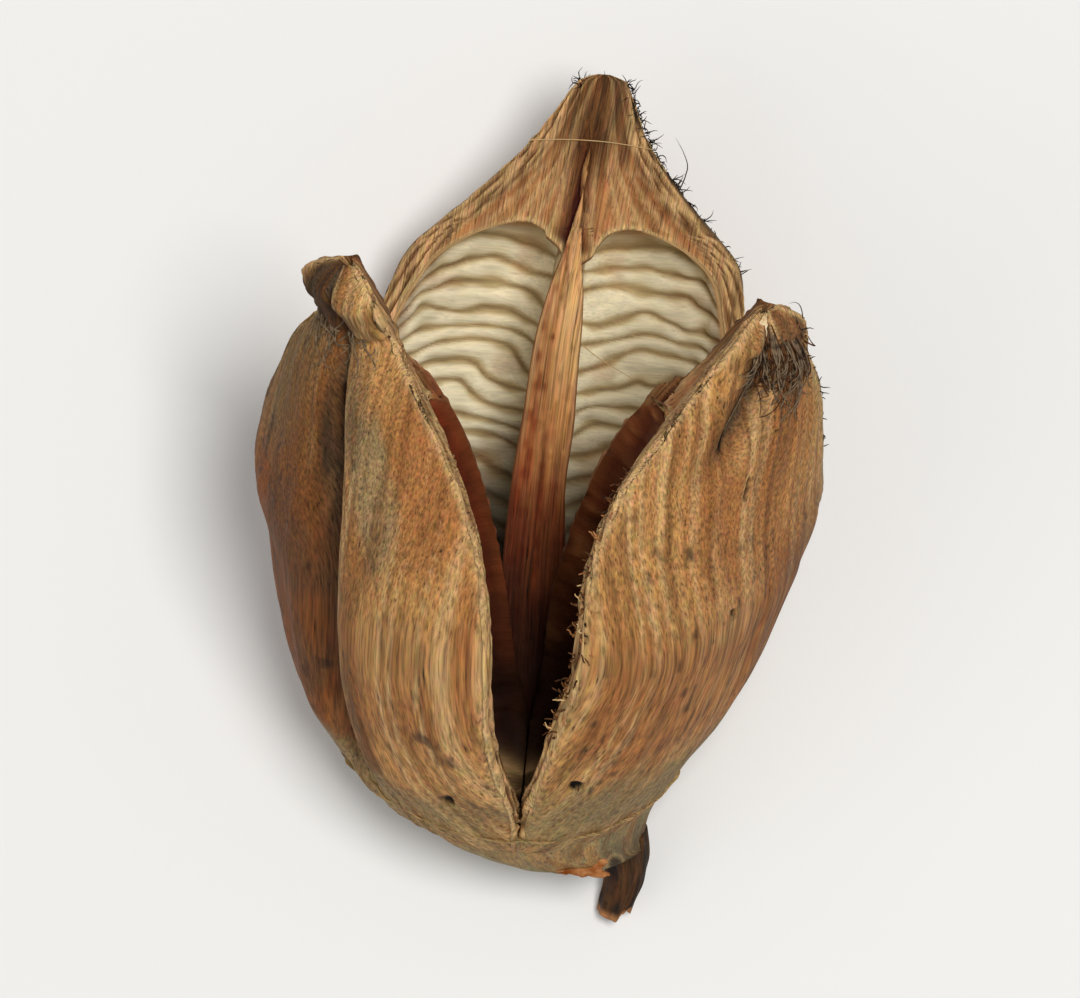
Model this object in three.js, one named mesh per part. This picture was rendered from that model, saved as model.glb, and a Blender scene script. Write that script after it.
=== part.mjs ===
// A dried seed pod, split open from the tip into three woody valves that are still joined at the base.
// Each valve is boat shaped, with a thin radial wall, the septum, down its middle and a seed chamber on
// either side of it. The pod lies on the back of one valve, and the stub of its stalk is still on it.
//
// The pod is modelled upright: Z runs from base to tip, and a valve's radial direction is its heading.
// A share is a place along a valve, 0 at the bottom of the pod and 1 at the tip of the valve.

import * as THREE from 'three';
import { mergeVertices } from 'three/addons/utils/BufferGeometryUtils.js';

const { clamp, degToRad, lerp, smoothstep } = THREE.MathUtils;

// Driving dimensions: millimetres, degrees and shares.
const POD_LENGTH = 67;
const JOINT_SHARE = 0.07;          // the valves part from the undivided base here
const HINGE_END_SHARE = 0.24;      // the valves have bent to their hinge angle by here
const CURL_SHARES = [0.38, 0.82];  // the stretch over which a valve's upper half curls outwards
const PIECE_GAP = 0.3;             // air kept between pieces that touch
const HALF_SPAN = Math.PI / 3;     // a valve takes a third of the way round the pod

// The radius of the closed pod at the edges where its valves part: [share, radius].
const EDGE_RADII = [
  [0, 10.4], [0.06, 13.2], [0.14, 15.6], [0.26, 18], [0.4, 19.8], [0.54, 20.4], [0.66, 19.2],
  [0.745, 16.4], [0.83, 10.8], [0.91, 6.3], [0.965, 3.9], [0.99, 2.7], [1, 1.5],
];
const TIP_SHARES = [0.72, 0.95];   // the stretch over which a blunt valve keeps its girth
const FOOT_SPREAD = { left: 0.46, right: 0.15 }; // how much wider than deep the bottom of the pod is
const FOOT_SHARES = [-0.2, 0.6];   // the stretch over which the pod grows round again
const LOBE_SWELL = 0.05;           // how far the two lobes of a valve's back stand out, by radius
const GROOVE_DEPTHS = [0.04, 0.19]; // depth of the groove down the back, low and high on the pod
const GROOVE_SHARES = [0.35, 0.9];
const GROOVE_HALF_WIDTH = degToRad(12);

const RIM_WIDTH = 3;               // the split face outside a seed chamber
const SEPTUM_BAND = 2.1;           // half of the septum's inner edge, along the split face
const SEPTUM_HALF = 1.15;          // half the septum's thickness between the chambers
const SEPTUM_FOOT = 1.5;           // how much thicker the septum is where it meets the chamber floor
const CHAMBER_WALL = 1.8;
const CHAMBER_SHARES = [0.1, 0.2, 0.66, 0.795]; // closed, fully open, fully open, closed
const MOUTH_CENTRE = 0.55;         // the middle of a chamber's mouth, from septum band to rim
const LEAST_MOUTH = 0.4;
const DISH_DEPTH = 0.9;            // the hollow of the split face above a chamber

// Points along half of a cross-section, and rings along a valve.
const SECTION_STEPS = { band: 1, septum: 3, floor: 5, rim: 1, back: 7 };
const VALVE_RINGS = 22;

const VALVES = {
  valve_back: {
    heading: 90, hinge: 25.5, curl: 8, lean: -2.2, bow: 1.2, girth: 0.93, blunt: 0, colour: 0xa87a50,
  },
  valve_left: {
    heading: 209, hinge: 14, curl: 14, lean: 0, bow: 0, girth: 0.95, blunt: 0.35, colour: 0x9a7146,
  },
  valve_right: {
    heading: 330, hinge: 10.5, curl: 21, lean: 0, bow: 0, girth: 0.93, blunt: 0.5, colour: 0xa5763f,
  },
};

// The undivided bottom of the pod narrows to one side, where the stalk leaves it.
const BASE_RINGS = 8;
const BASE_SEGMENTS = 24;
const NECK = { radius: 2.6, offset: [8.6, 0.4], height: -3.2 };
const BASE_POWERS = { drawn: 2.6, height: 2.2, fullness: 0.55 }; // how its rings run from neck to top
const STALK = {
  topRadius: 1.9, endRadius: 1.35, endOffset: [8, -1.4], endHeight: -11.6, bend: 0.7, rings: 5, sides: 10,
};

// How the pod lies: tipped over its back valve, rolled, and turned on the surface.
const REST = { tip: -54, roll: 0, turn: -4.5 };

// A smooth curve through the given [place, value] points, whose slope at each is that of its neighbours.
function along(points, place) {
  const slope = (i) => {
    const [before, after] = [points[Math.max(i - 1, 0)], points[Math.min(i + 1, points.length - 1)]];
    return (after[1] - before[1]) / (after[0] - before[0]);
  };
  const next = points.findIndex((point, i) => i > 0 && (place <= point[0] || i === points.length - 1));
  const [low, high] = [points[next - 1], points[next]];
  const width = high[0] - low[0];
  const t = clamp((place - low[0]) / width, 0, 1);
  return low[1] * (1 + 2 * t) * (1 - t) ** 2
    + high[1] * t * t * (3 - 2 * t)
    + width * (slope(next - 1) * t * (1 - t) ** 2 - slope(next) * t * t * (1 - t));
}

// The radius of a valve's back at an angle from its middle, with its two lobes and the groove between.
function backRadius(valve, share, angle) {
  const rise = smoothstep(share, GROOVE_SHARES[0], GROOVE_SHARES[1]);
  const depth = lerp(GROOVE_DEPTHS[0], GROOVE_DEPTHS[1], rise);
  const groove = depth * Math.exp(-((angle / GROOVE_HALF_WIDTH) ** 2));
  const lobes = 1 - LOBE_SWELL * Math.cos(3 * angle);
  const girth = valve.girth * (1 + valve.blunt * smoothstep(share, TIP_SHARES[0], TIP_SHARES[1]));
  return along(EDGE_RADII, share) * girth * (lobes - groove);
}

// Widens the bottom of the pod to the left and right.
function spreadFoot(place, share) {
  const spread = place.x < 0 ? FOOT_SPREAD.left : FOOT_SPREAD.right;
  place.x *= 1 + spread * (1 - smoothstep(share, FOOT_SHARES[0], FOOT_SHARES[1]));
  return place;
}

// How far shut a seed chamber is at a share: 0 along its open middle, 1 at its ends and past them.
function chamberClosing(share) {
  const [bottom, low, high, top] = CHAMBER_SHARES;
  return clamp(Math.max((low - share) / (low - bottom), (share - high) / (top - high)), 0, 1);
}

function polar(radius, angle) {
  return new THREE.Vector2(radius * Math.cos(angle), radius * Math.sin(angle));
}

// The wall of a chamber from its mouth at the septum, along the septum, and over the floor to the rim.
function chamberWall(valve, share, mouthIn, mouthOut) {
  const edge = backRadius(valve, share, HALF_SPAN);
  const start = polar(mouthIn, HALF_SPAN);
  const cornerRadius = backRadius(valve, share, GROOVE_HALF_WIDTH) - CHAMBER_WALL;
  const cornerAngle = Math.atan2(SEPTUM_HALF * SEPTUM_FOOT, cornerRadius);
  const wall = [];
  for (let i = 0; i < SECTION_STEPS.septum; i += 1) {
    const t = i / SECTION_STEPS.septum;
    const flare = (start.y - SEPTUM_HALF) * (1 - t) ** 3;
    wall.push(new THREE.Vector2(lerp(start.x, cornerRadius, t), SEPTUM_HALF + flare));
  }
  for (let i = 0; i <= SECTION_STEPS.floor; i += 1) {
    const t = i / SECTION_STEPS.floor;
    const angle = lerp(cornerAngle, HALF_SPAN, t);
    const thickness = lerp(CHAMBER_WALL, edge - mouthOut, t ** 3);
    wall.push(polar(backRadius(valve, share, angle) - thickness, angle));
  }
  return wall;
}

// Half of a valve's cross-section, from its inner edge on the pod's axis round to the middle of its back.
function halfSection(valve, share) {
  const edge = backRadius(valve, share, HALF_SPAN);
  const band = Math.min(SEPTUM_BAND, edge * 0.3);
  const rim = Math.max(edge - RIM_WIDTH, edge * 0.6);
  const closing = chamberClosing(share);
  const depth = Math.sqrt(1 - closing ** 3);
  const mouth = Math.max(LEAST_MOUTH, Math.sqrt(1 - closing ** 3));
  const centre = lerp(band, rim, MOUTH_CENTRE);
  const mouthIn = lerp(centre, band, mouth);
  const mouthOut = lerp(centre, rim, mouth);
  const dish = Math.min(DISH_DEPTH, edge * 0.1) * smoothstep(share, CHAMBER_SHARES[1], CHAMBER_SHARES[2]);
  const inwards = polar(1, HALF_SPAN - Math.PI / 2);
  const points = [];
  for (let i = 0; i < SECTION_STEPS.band; i += 1) {
    points.push(polar(mouthIn * i / SECTION_STEPS.band, HALF_SPAN));
  }
  const wall = chamberWall(valve, share, mouthIn, mouthOut);
  wall.forEach((point, i) => {
    const t = i / (wall.length - 1);
    const face = polar(lerp(mouthIn, mouthOut, t), HALF_SPAN);
    face.addScaledVector(inwards, dish * Math.sin(Math.PI * t));
    points.push(face.lerp(point, depth));
  });
  for (let i = 1; i <= SECTION_STEPS.rim; i += 1) {
    points.push(polar(lerp(mouthOut, edge, i / SECTION_STEPS.rim), HALF_SPAN));
  }
  for (let i = 1; i <= SECTION_STEPS.back; i += 1) {
    const angle = HALF_SPAN * (1 - i / SECTION_STEPS.back);
    points.push(polar(backRadius(valve, share, angle), angle));
  }
  return points;
}

// The whole loop of a cross-section, counter-clockwise from the inner edge.
function section(valve, share) {
  const half = halfSection(valve, share);
  const mirrored = half.map((point) => new THREE.Vector2(point.x, -point.y));
  return [...mirrored, ...half.slice(1, -1).reverse()];
}

// How far a valve has turned outwards at a share, in radians.
function opening(valve, share) {
  const hinge = valve.hinge * smoothstep(share, JOINT_SHARE, HINGE_END_SHARE);
  const curl = valve.curl * smoothstep(share, CURL_SHARES[0], CURL_SHARES[1]);
  return degToRad(hinge + curl);
}

// The place on the bent axis of a valve at a share: x outwards, y sideways, z up.
function spine(valve, share) {
  const steps = 60;
  const place = new THREE.Vector3(PIECE_GAP / Math.sqrt(3), 0, 0);
  for (let i = 0; i < steps; i += 1) {
    const angle = opening(valve, share * (i + 0.5) / steps);
    place.x += Math.sin(angle) * share * POD_LENGTH / steps;
    place.z += Math.cos(angle) * share * POD_LENGTH / steps;
  }
  const free = Math.max(0, share - JOINT_SHARE) / (1 - JOINT_SHARE);
  place.y = valve.lean * free ** 1.5 + valve.bow * Math.sin(Math.PI * free);
  return place;
}

// A closed cylinder whose every vertex is moved to place(ring share, index round the ring).
// The index is -1 at the centre of a cap.
function loft(sides, rings, place) {
  let geometry = new THREE.CylinderGeometry(1, 1, 1, sides, rings);
  geometry.deleteAttribute('normal');
  geometry.deleteAttribute('uv');
  geometry = mergeVertices(geometry, 1e-5);
  const positions = geometry.getAttribute('position');
  const vertex = new THREE.Vector3();
  for (let i = 0; i < positions.count; i += 1) {
    vertex.fromBufferAttribute(positions, i);
    const turn = Math.atan2(vertex.x, vertex.z) / (2 * Math.PI);
    const index = Math.hypot(vertex.x, vertex.z) < 0.5 ? -1 : Math.round((turn + 1) * sides) % sides;
    vertex.copy(place(vertex.y + 0.5, index));
    positions.setXYZ(i, vertex.x, vertex.y, vertex.z);
  }
  geometry.computeVertexNormals();
  return geometry;
}

function valveGeometry(valve) {
  const sides = section(valve, 0.5).length;
  const start = JOINT_SHARE + PIECE_GAP / POD_LENGTH;
  return loft(sides, VALVE_RINGS, (ring, index) => {
    const share = lerp(start, 1, ring);
    const loop = section(valve, share);
    const flat = index >= 0 ? loop[index] : middle(loop);
    const angle = opening(valve, share);
    const place = spine(valve, share);
    place.x += flat.x * Math.cos(angle);
    place.y += flat.y;
    place.z -= flat.x * Math.sin(angle);
    place.applyAxisAngle(new THREE.Vector3(0, 0, 1), degToRad(valve.heading));
    return spreadFoot(place, share);
  });
}

function middle(loop) {
  const sum = loop.reduce((total, point) => total.add(point), new THREE.Vector2());
  return sum.divideScalar(loop.length);
}

// The outline of the closed pod round its whole girth, which the base follows at its top.
function podRadius(share, heading) {
  const valves = Object.values(VALVES);
  const away = (valve) => Math.abs(Math.atan2(Math.sin(heading - degToRad(valve.heading)),
    Math.cos(heading - degToRad(valve.heading))));
  const nearest = valves.reduce((best, valve) => (away(valve) < away(best) ? valve : best));
  return backRadius(nearest, share, Math.min(away(nearest), HALF_SPAN));
}

// The base: as round as the pod at its top, and drawn in below to the neck of the stalk.
function baseGeometry() {
  const top = JOINT_SHARE * POD_LENGTH;
  return loft(BASE_SEGMENTS, BASE_RINGS, (ring, index) => {
    const drawn = (1 - ring) ** BASE_POWERS.drawn;
    const centre = new THREE.Vector2(NECK.offset[0], NECK.offset[1]).multiplyScalar(drawn);
    const height = lerp(NECK.height, top, Math.sin(ring * Math.PI / 2) ** BASE_POWERS.height);
    if (index < 0) {
      return new THREE.Vector3(centre.x, centre.y, height);
    }
    const heading = 2 * Math.PI * index / BASE_SEGMENTS;
    const fullness = Math.sin(ring * Math.PI / 2) ** BASE_POWERS.fullness;
    const radius = podRadius(JOINT_SHARE * ring, heading);
    const full = new THREE.Vector3(radius * Math.cos(heading), radius * Math.sin(heading), 0);
    const narrow = full.clone().setLength(NECK.radius);
    spreadFoot(full, JOINT_SHARE * ring);
    return narrow.lerp(full, fullness).add(new THREE.Vector3(centre.x, centre.y, height));
  });
}

// The stub of the stalk, a little bent, broken off square.
function stalkGeometry() {
  const top = new THREE.Vector3(...NECK.offset, NECK.height - PIECE_GAP);
  const end = new THREE.Vector3(...STALK.endOffset, STALK.endHeight);
  return loft(STALK.sides, STALK.rings, (ring, index) => {
    const radius = index < 0 ? 0 : lerp(STALK.endRadius, STALK.topRadius, ring);
    const heading = 2 * Math.PI * index / STALK.sides;
    const centre = end.clone().lerp(top, ring);
    centre.x += STALK.bend * Math.sin(Math.PI * ring);
    return centre.add(new THREE.Vector3(radius * Math.cos(heading), radius * Math.sin(heading), 0));
  });
}

function woodPiece(name, geometry, colour) {
  const material = new THREE.MeshStandardMaterial({ color: colour, roughness: 0.85, metalness: 0 });
  const mesh = new THREE.Mesh(geometry, material);
  mesh.name = name;
  return mesh;
}

// Turns the pod to the way it lies and sets it down, with the middle of its underside at the origin.
function layDown(pod) {
  pod.rotation.set(degToRad(REST.tip), degToRad(REST.roll), degToRad(REST.turn), 'ZYX');
  pod.updateMatrixWorld(true);
  const box = new THREE.Box3().setFromObject(pod, true);
  pod.position.set(-(box.min.x + box.max.x) / 2, -(box.min.y + box.max.y) / 2, -box.min.z);
  return new THREE.Group().add(pod);
}

const pod = new THREE.Group();
Object.entries(VALVES).forEach(([name, valve]) => {
  pod.add(woodPiece(name, valveGeometry(valve), valve.colour));
});
pod.add(woodPiece('pod_base', baseGeometry(), 0x857050));
pod.add(woodPiece('stalk', stalkGeometry(), 0x3c2a1e));

export default layDown(pod);
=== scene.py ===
# A dried seed pod, lying on the back of one of its three woody valves. It has split open from
# the tip, and the valves are still joined at the base, over a broken stub of stalk.
import math
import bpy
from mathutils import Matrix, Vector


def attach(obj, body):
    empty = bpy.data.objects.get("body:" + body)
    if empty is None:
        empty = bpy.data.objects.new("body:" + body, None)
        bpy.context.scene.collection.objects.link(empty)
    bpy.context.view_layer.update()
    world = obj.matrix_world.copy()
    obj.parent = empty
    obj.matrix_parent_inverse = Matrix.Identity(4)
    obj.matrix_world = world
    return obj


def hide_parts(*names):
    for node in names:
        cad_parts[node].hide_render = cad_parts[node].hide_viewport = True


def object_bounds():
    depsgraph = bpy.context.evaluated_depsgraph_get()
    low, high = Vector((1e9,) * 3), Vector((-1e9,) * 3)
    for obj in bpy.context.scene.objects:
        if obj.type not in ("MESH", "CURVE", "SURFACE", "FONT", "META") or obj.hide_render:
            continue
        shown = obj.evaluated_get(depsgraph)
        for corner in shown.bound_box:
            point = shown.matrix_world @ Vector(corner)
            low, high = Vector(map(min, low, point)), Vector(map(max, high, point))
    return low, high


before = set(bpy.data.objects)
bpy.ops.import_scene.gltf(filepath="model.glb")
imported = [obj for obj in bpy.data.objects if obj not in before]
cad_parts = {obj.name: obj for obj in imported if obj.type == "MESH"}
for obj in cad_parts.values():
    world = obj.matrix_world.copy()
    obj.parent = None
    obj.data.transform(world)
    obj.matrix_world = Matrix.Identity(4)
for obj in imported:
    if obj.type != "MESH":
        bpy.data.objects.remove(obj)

from types import SimpleNamespace

import bmesh
import bpy
import numpy as np
from mathutils import Euler, Vector

cad_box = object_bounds()

# ---------------------------------------------------------------------------------------------
# The three valves. Each is a woody boat with a fibrous skin outside, a thin wall, the septum,
# down its middle, and a papery lining that keeps the prints of the stacked seeds. Each grew as
# one piece, and is one closed tube here: septum, lining, rim and skin, drawn from base to tip.
# ---------------------------------------------------------------------------------------------
MM = 0.001
POD_LENGTH = 67.0
JOINT_SHARE = 0.07
VALVE_START = 0.035
HINGE_END = 0.24
CURL_SHARES = (0.38, 0.82)
HALF_SPAN = math.pi / 3
EDGE_RADII = [
    (0, 10.4), (0.06, 13.2), (0.14, 15.6), (0.26, 18), (0.4, 19.8), (0.54, 20.4), (0.66, 19.2),
    (0.745, 16.4), (0.83, 10.8), (0.91, 6.3), (0.965, 3.9), (0.99, 2.7), (1, 1.5),
]
TIP_SHARES = (0.72, 0.95)
KNOB_SHARES = (0.93, 0.985)
KNOB_WAIST = (0.93, 0.03)
SHOULDER = (0.79, 0.1)
COUNTER_TWIST = (0.6, 0.2)
TIP_PIT = 0.975
FOOT_SPREAD = {"left": 0.46, "right": 0.15}
FOOT_SHARES = (-0.2, 0.6)
LOBE_SWELL = 0.05
POD_FOOT = Vector((-1.492, -26.466, 7.879))
POD_TURN = Euler((math.radians(-54), 0, math.radians(-4.5)), "XYZ")

SEPTUM_HALF = 0.9
CHAMBER_WALL = 1.6
# The shares of a valve's height at which each of these sets in, is full, starts to go and is gone.
CHAMBER_SHARES = (0.1, 0.2, 0.715, 0.795)
FACE_SHARES = (0.735, 0.8, 0.93, 0.99)
POINT_SHARES = (0.7, 0.76, 0.86, 0.94)
SUNK_SHARES = (0.76, 0.84, 0.87, 0.94)
# Painted highlight on the upper septum: where it sets in, is full, fades and is gone.
HIGHLIGHT_SHARES = (0.52, 0.7, 0.8, 0.9)
BARED_SHARES = (0.2, 0.4, 0.72, 0.92)
MOUTH_CENTRE = 0.5
CORNER_ANGLE = math.radians(6.5)
SEED_PITCH = 2.25
SLOT_DEPTH = 1.7
LIP_RISE = 0.45
HEM_RISE = 0.22
VEINS = [(0.42, 0.05), (0.63, 0.045), (0.84, 0.05)]
VEIN_RISE = 0.26
RIDGE_PITCH = 0.86
FINE_RIDGE_PITCH = 0.52
RIDGE_RISE = 0.24
SLIT_DEPTH = 0.45
SKIN_TURN_IN = 0.5
PAPER_COARSENESS = 0.25
RINGS = 330


def tone(code):
    """An everyday colour code, such as b98b54, as linear light."""
    parts = np.array([int(code[i:i + 2], 16) for i in (0, 2, 4)]) / 255
    return np.where(parts > 0.04045, ((parts + 0.055) / 1.055) ** 2.4, parts / 12.92)


WOOD = {name: tone(code) for name, code in {
    "gold": "c38f54", "ochre": "ab713e", "straw": "dbb57d", "umber": "6f4521", "rust": "8a4a17",
    "soot": "2b2017", "olive": "8d7b52", "sage": "9c9068", "smoke": "4d3f2f",
    "rim_light": "d6ab74", "rim_dark": "6d4625", "tissue": "b87f4e", "tissue_dark": "865029",
    "septum": "cf9257", "septum_highlight": "f2bf80", "mahogany": "7a2f14", "blood": "45130a",
    "cream": "f3e8c6", "shadow": "c4ae80", "crease": "866d4b", "pitch": "120a07", "taupe": "8a745a",
}.items()}

# Angles are in degrees and lengths in millimetres, and a place along a valve is its share of the
# height. A groove is its angle from the middle of the back low and high on the valve, its half
# width, its depth low and high as shares of the radius, and the stretch over which it changes. A
# twist is its angle at the tip, the stretch over which it grows, and the angle at mid height. A
# slit is its share, its angle, its half length as a share and its half width. A stain is its
# colour, its share and angle, its reach in each, and its strength.
VALVES = {
    "valve_back": dict(
        heading=90, hinge=25.5, curl=8, lean=-2.2, bow=1.2, girth=0.93, blunt=0, knob=0, seed=3,
        shoulder=0.12, recess=0.0, band=2.1, red_wall=0.45, twist=(0, 0.4, 0.85, 0),
        haired=-1, knob_rise=0, lobe_shade_and_stain=0, groove=(0, 0, 11, 0.04, 0.19, 0.35, 0.9), slits=[],
        stains=[
            ("rust", 0.9, -58, 0.12, 12, 0.8), ("soot", 0.95, -50, 0.1, 26, 0.7),
            ("olive", 0.12, 0, 0.2, 80, 0.7), ("umber", 0.5, 10, 0.3, 18, 0.5),
            ("rust", 0.7, -30, 0.2, 20, 0.5), ("smoke", 0.85, 0, 0.25, 14, 0.5),
        ],
    ),
    "valve_left": dict(
        heading=209, hinge=14, curl=14, lean=0, bow=0, girth=0.95, blunt=0.35, knob=0.3, seed=17,
        shoulder=0.0, recess=-0.6, band=1.6, red_wall=0.95, twist=(16, 0.28, 0.82, -3),
        haired=0, knob_rise=1.7, lobe_shade_and_stain=0.8, groove=(5, 3, 7, 0.14, 0.22, 0.1, 0.7),
        slits=[(0.2, 44, 0.022, 1.4), (0.86, 2, 0.02, 1.5)],
        stains=[
            ("rust", 0.5, -12, 0.5, 36, 1.0), ("umber", 0.66, 0, 0.24, 20, 0.5),
            ("smoke", 0.62, -6, 0.2, 15, 0.4), ("smoke", 0.5, -22, 0.1, 8, 0.4),
            ("smoke", 0.34, -8, 0.1, 7, 0.6), ("umber", 0.42, -16, 0.3, 22, 0.5),
            ("olive", 0.86, -26, 0.14, 30, 0.5), ("umber", 0.84, -10, 0.12, 30, 0.5),
            ("soot", 0.82, 17, 0.2, 10, 0.85),
            ("umber", 0.5, -50, 0.5, 18, 0.6), ("umber", 0.3, 16, 0.24, 9, 0.9),
            ("olive", 0.1, 10, 0.14, 80, 0.7), ("soot", 0.965, 10, 0.05, 80, 0.8),
            ("umber", 0.88, 40, 0.08, 22, 0.5), ("sage", 0.8, 40, 0.14, 14, 0.55),
            ("smoke", 0.86, 34, 0.07, 10, 0.6),
        ],
    ),
    "valve_right": dict(
        heading=330, hinge=10.5, curl=21, lean=0, bow=0, girth=0.93, blunt=0.5, knob=0.1, seed=31,
        shoulder=0.0, recess=-1.4, band=1.5, red_wall=0.15, twist=(-17, 0.42, 0.86, 2.2),
        haired=0, knob_rise=0.3, lobe_shade_and_stain=0, groove=(-36, -19, 10, 0.0, 0.26, 0.8, 0.93),
        slits=[
            (0.819, -8, 0.02, 1.2), (0.868, -28, 0.016, 1.2), (0.248, -48.5, 0.012, 2.6),
            (0.6, -12, 0.014, 1.0),
        ],
        stains=[
            ("ochre", 0.45, -20, 0.3, 30, 0.7), ("rust", 0.55, 5, 0.2, 14, 0.45),
            ("olive", 0.14, -10, 0.17, 90, 0.8), ("sage", 0.72, 44, 0.3, 20, 0.85),
            # The pitch-dark one high on the tip is painted shade, in the hollow under the broken
            # tip.
            ("umber", 0.92, -40, 0.09, 24, 0.7), ("pitch", 0.945, -36, 0.055, 9, 0.95),
            ("umber", 0.5, 20, 0.35, 16, 0.55), ("smoke", 0.97, 0, 0.04, 80, 0.6),
        ],
    ),
}


def smooth(low, high, value):
    t = np.clip((value - low) / (high - low), 0, 1)
    return t * t * (3 - 2 * t)


def bell(value, centre, width):
    return np.exp(-(((value - centre) / width) ** 2))


def mix(a, b, t):
    return a + (b - a) * t


def between(share, sets_in, full, starts_to_go, gone):
    return smooth(sets_in, full, share) * (1 - smooth(starts_to_go, gone, share))


def layered(tint, *coats):
    """Lays coats over a tint, each a colour and how much of it there is at each vertex."""
    for colour, amount in coats:
        tint = tint + (WOOD[colour] - tint) * amount[:, None]
    return tint


def along(points, place):
    """A smooth curve through (place, value) points, sloping at each as its neighbours do."""
    places, values = np.array(points, float).T
    slopes = np.gradient(values, places)
    slopes[1:-1] = (values[2:] - values[:-2]) / (places[2:] - places[:-2])
    low = np.clip(np.searchsorted(places, place) - 1, 0, len(places) - 2)
    width = places[low + 1] - places[low]
    t = np.clip((place - places[low]) / width, 0, 1)
    ends = values[low] * (1 + 2 * t) * (1 - t) ** 2 + values[low + 1] * t * t * (3 - 2 * t)
    return ends + width * (slopes[low] * t * (1 - t) ** 2 - slopes[low + 1] * t * t * (1 - t))


def grain(u, v, seed):
    """Smooth unevenness between -1 and 1 over a plane, in cells of size 1."""
    column, row = np.floor(u), np.floor(v)
    a, b = u - column, v - row
    a, b = a * a * (3 - 2 * a), b * b * (3 - 2 * b)

    def corner(i, j):
        wave = np.sin(i * 127.1 + j * 311.7 + seed * 74.7) * 43758.5453
        return wave - np.floor(wave)

    low = mix(corner(column, row), corner(column + 1, row), a)
    high = mix(corner(column, row + 1), corner(column + 1, row + 1), a)
    return 2 * mix(low, high, b) - 1


def uneven(at, across, width, length, seed):
    """The same on a valve, in cells of a width and a length in millimetres."""
    return grain(across / width, at.length / length, at.seed + seed)


def polar(radius, angle):
    return np.stack(np.broadcast_arrays(radius * np.cos(angle), radius * np.sin(angle)), -1)


def twisted(valve, share):
    """How far a valve has twisted about its own axis at a share, in degrees."""
    at_tip, start, end, at_middle = valve["twist"]
    return at_tip * smooth(start, end, share) + at_middle * bell(share, *COUNTER_TWIST)


def groove_at(valve, share):
    """The angle, half width and depth of a valve's groove at a share."""
    low_place, high_place, width, low, high, start, end = valve["groove"]
    change = smooth(start, end, share)
    depth = mix(low, high, change) * smooth(0, 0.2, share)
    return mix(low_place, high_place, change), width, depth


def back_radius(valve, share, angle):
    """The radius of a valve's back, with its two lobes and the groove between them."""
    place, width, depth = groove_at(valve, share)
    groove = depth * bell(np.degrees(angle), place, width)
    girth = valve["girth"] * (1 + valve["blunt"] * smooth(*TIP_SHARES, share))
    girth = girth * (1 + valve["knob"] * smooth(*KNOB_SHARES, share))
    girth = girth * (1 - 0.1 * valve["knob_rise"] * bell(share, *KNOB_WAIST))
    girth = girth * (1 + valve["shoulder"] * bell(share, *SHOULDER) * (1 - 0.3 * angle))
    return along(EDGE_RADII, share) * girth * (1 - LOBE_SWELL * np.cos(3 * angle) - groove)


def lay_out(valve, share, side):
    """Where the septum, the chamber's mouth and the rim lie on the split face at each share."""
    at = SimpleNamespace(share=share, side=side, length=share * POD_LENGTH, seed=valve["seed"])
    at.edge = back_radius(valve, share, HALF_SPAN * side)
    narrow = valve["band"] * (1 - 0.94 * smooth(0.64, 0.9, share))
    narrow = narrow * (1 + 0.3 * smooth(0.75, 0.45, share))
    wavering = 0.1 * grain(at.length / 6, side * 3, at.seed)
    at.band = np.minimum(narrow, at.edge * 0.3) * (1 + wavering)
    rim_width = 2.1 + 1.3 * smooth(0.6, 0.76, share)
    rim_width = rim_width + 0.22 * grain(at.length / 7, side * 5, at.seed)
    at.rim = np.maximum(at.edge - rim_width, at.edge * 0.6)
    bottom, low, high, top = CHAMBER_SHARES
    closing = np.maximum((low - share) / (low - bottom), (share - high) / (top - high))
    closing = np.clip(closing, 0, 1)
    mouth = np.maximum(0.12, np.sqrt(1 - closing**2))
    at.depth = np.sqrt(1 - closing**6)
    at.centre = mix(at.band, at.rim, MOUTH_CENTRE)
    at.mouth_in = mix(at.centre, at.band, mouth)
    at.mouth_out = mix(at.centre, at.rim, mouth)
    at.half_septum = SEPTUM_HALF * (1 + 0.15 * grain(at.length / 8, 1.0, at.seed + 3))
    at.bared = between(share, *BARED_SHARES)
    return at


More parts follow.
